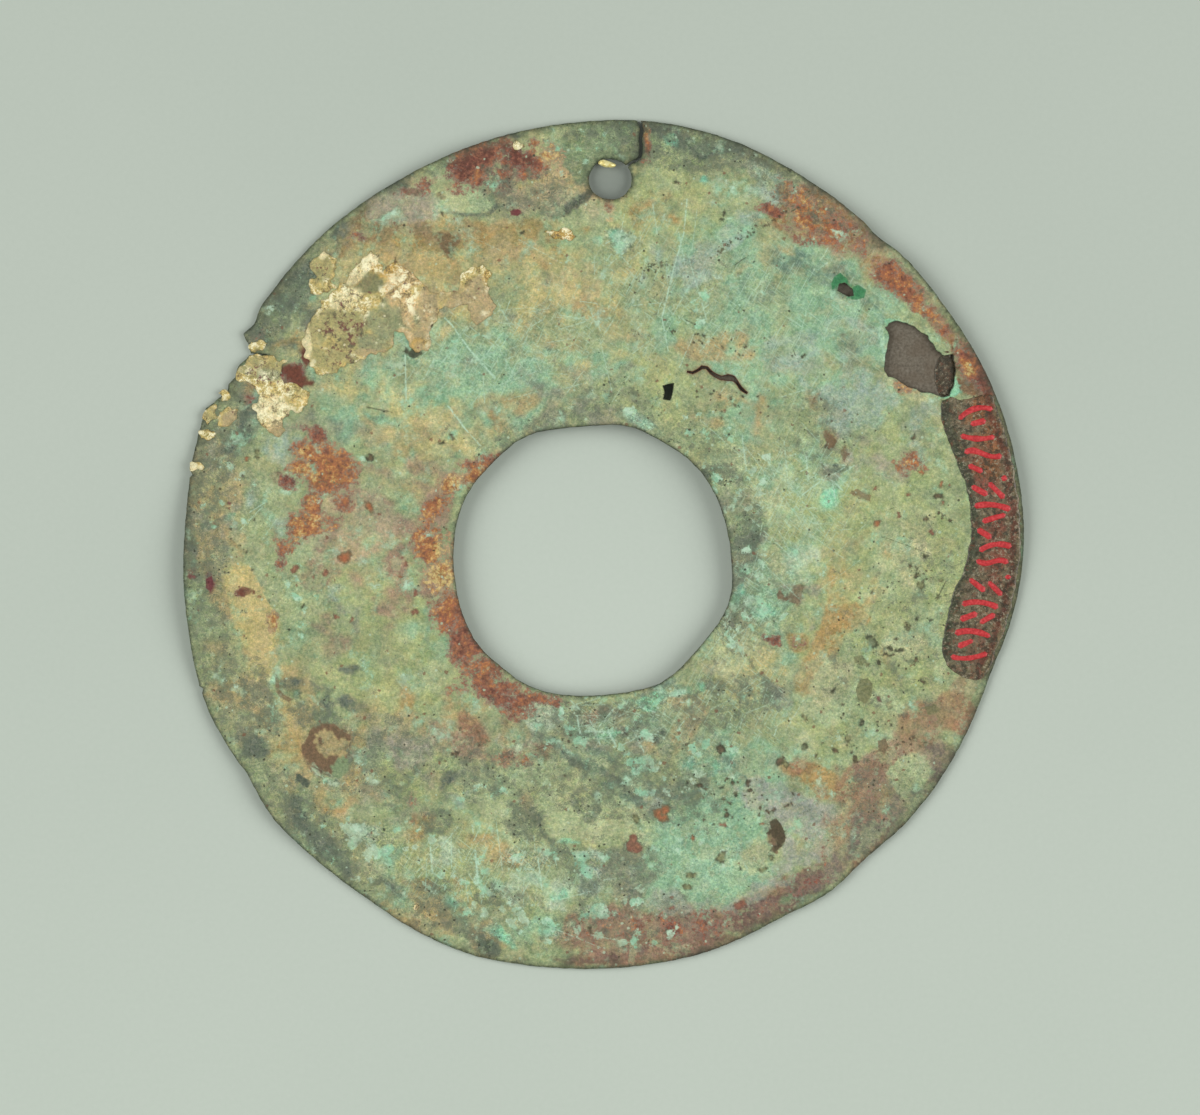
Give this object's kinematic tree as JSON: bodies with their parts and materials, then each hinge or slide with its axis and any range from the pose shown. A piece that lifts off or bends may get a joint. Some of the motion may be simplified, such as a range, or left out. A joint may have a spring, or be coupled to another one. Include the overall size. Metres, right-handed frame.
{
  "type": "gilt copper disc plaque",
  "caption": "Thin hammered copper disc with a large off-centre round opening and a small hanging hole, corroded green and red with remains of gilding, cracked and backed behind its losses.",
  "frame": {"origin": "under the middle of the disc's outline, on the surface that it lies on", "axes": "+Z out of the gilded front, +Y towards the hanging hole, +X to the right as seen from the front"},
  "size_m": [0.084, 0.085, 0.0026],
  "materials": {
    "patinated_copper": "hammered copper with a mottled green, red and brown corrosion crust and thin remains of gilding",
    "backing_sheet": "matt brown-grey repair sheet",
    "gilding": "thin worn gold leaf, pitted and dusty",
    "lacquer": "thin clear-brown lacquer over the corrosion, slightly glossy",
    "red_paint": "thin red paint, brushed on by hand"
  },
  "bodies": {
    "root": {"disc": "patinated_copper", "backing": "backing_sheet"}
  },
  "joints": []
}
